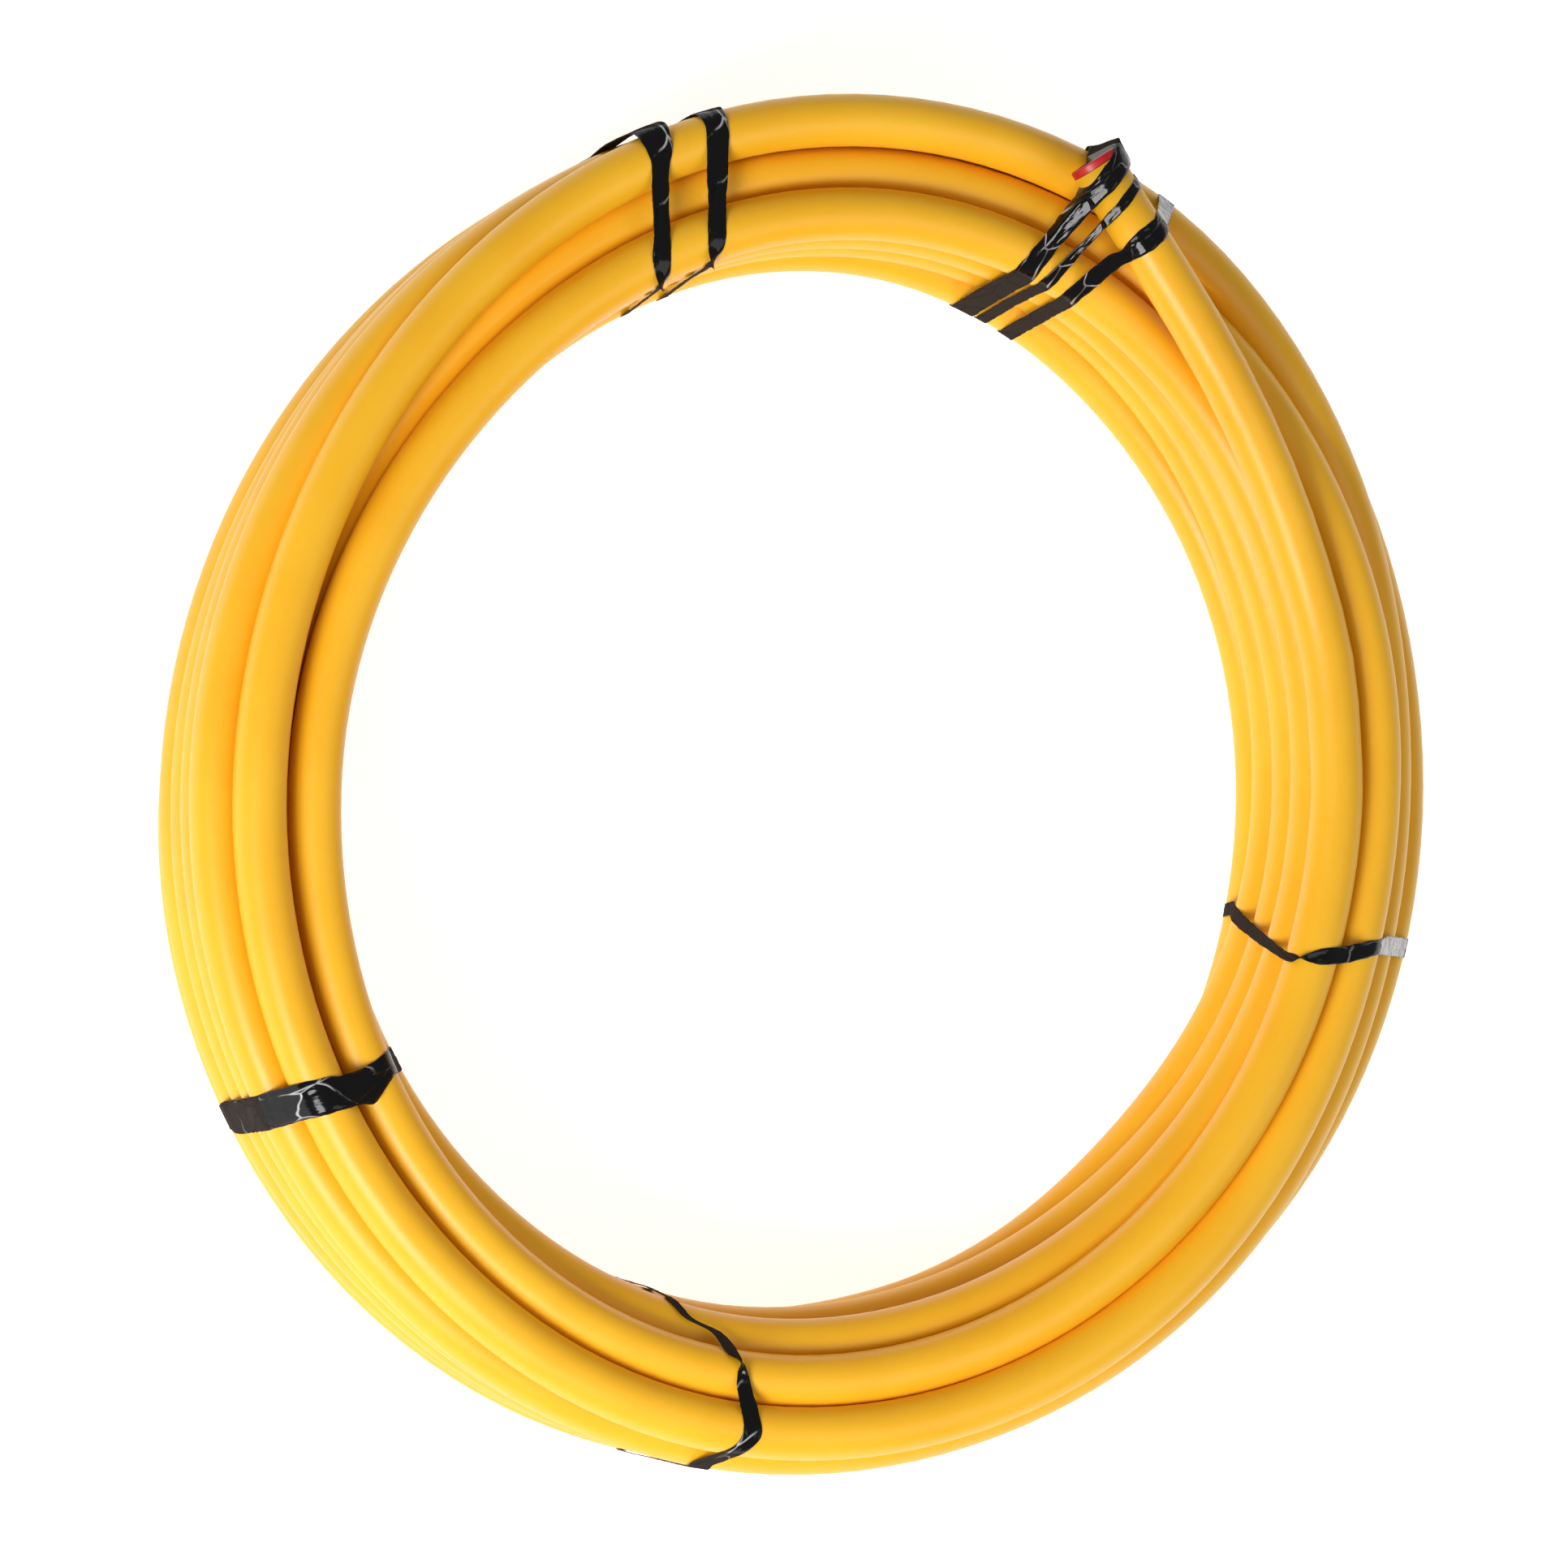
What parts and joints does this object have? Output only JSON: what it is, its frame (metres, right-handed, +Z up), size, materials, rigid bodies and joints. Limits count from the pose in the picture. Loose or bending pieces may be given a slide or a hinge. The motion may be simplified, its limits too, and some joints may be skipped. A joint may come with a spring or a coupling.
{
  "type": "coil of plastic pipe",
  "caption": "Flat coil of yellow plastic gas pipe, bound with strips of black tape, with a red push-in plug in each end.",
  "frame": {"origin": "on the floor under the middle of the coil", "axes": "+Z up along the coil's axis, +Y along the oval's longer way, the outer end lies towards +X and +Y"},
  "size_m": [0.616, 0.645, 0.1648],
  "materials": {
    "yellow_pipe": "satin extruded polyethylene, lightly scuffed",
    "red_plug": "satin moulded polyethylene",
    "black_tape": "glossy, creased plastic film"
  },
  "bodies": {
    "coil": {"pipe_coil": "yellow_pipe", "pipe_outer_end": "yellow_pipe", "pipe_inner_end": "yellow_pipe", "tape_top_left_first": "black_tape", "tape_top_left_second": "black_tape", "tape_outer_end_tip": "black_tape", "tape_outer_end_middle": "black_tape", "tape_outer_end_back": "black_tape", "tape_lower_left": "black_tape", "tape_bottom": "black_tape", "tape_right": "black_tape"},
    "outer_plug": {"outer_end_plug": "red_plug"},
    "inner_plug": {"inner_end_plug": "red_plug"}
  },
  "joints": [
    {"name": "outer_plug_pull", "type": "slide", "parent": "coil", "child": "outer_plug", "axis": [-0.5647, 0.8253, 0], "range_m": [0, 0.03]},
    {"name": "inner_plug_pull", "type": "slide", "parent": "coil", "child": "inner_plug", "axis": [-0.342, 0.9397, 0], "range_m": [0, 0.03]}
  ]
}
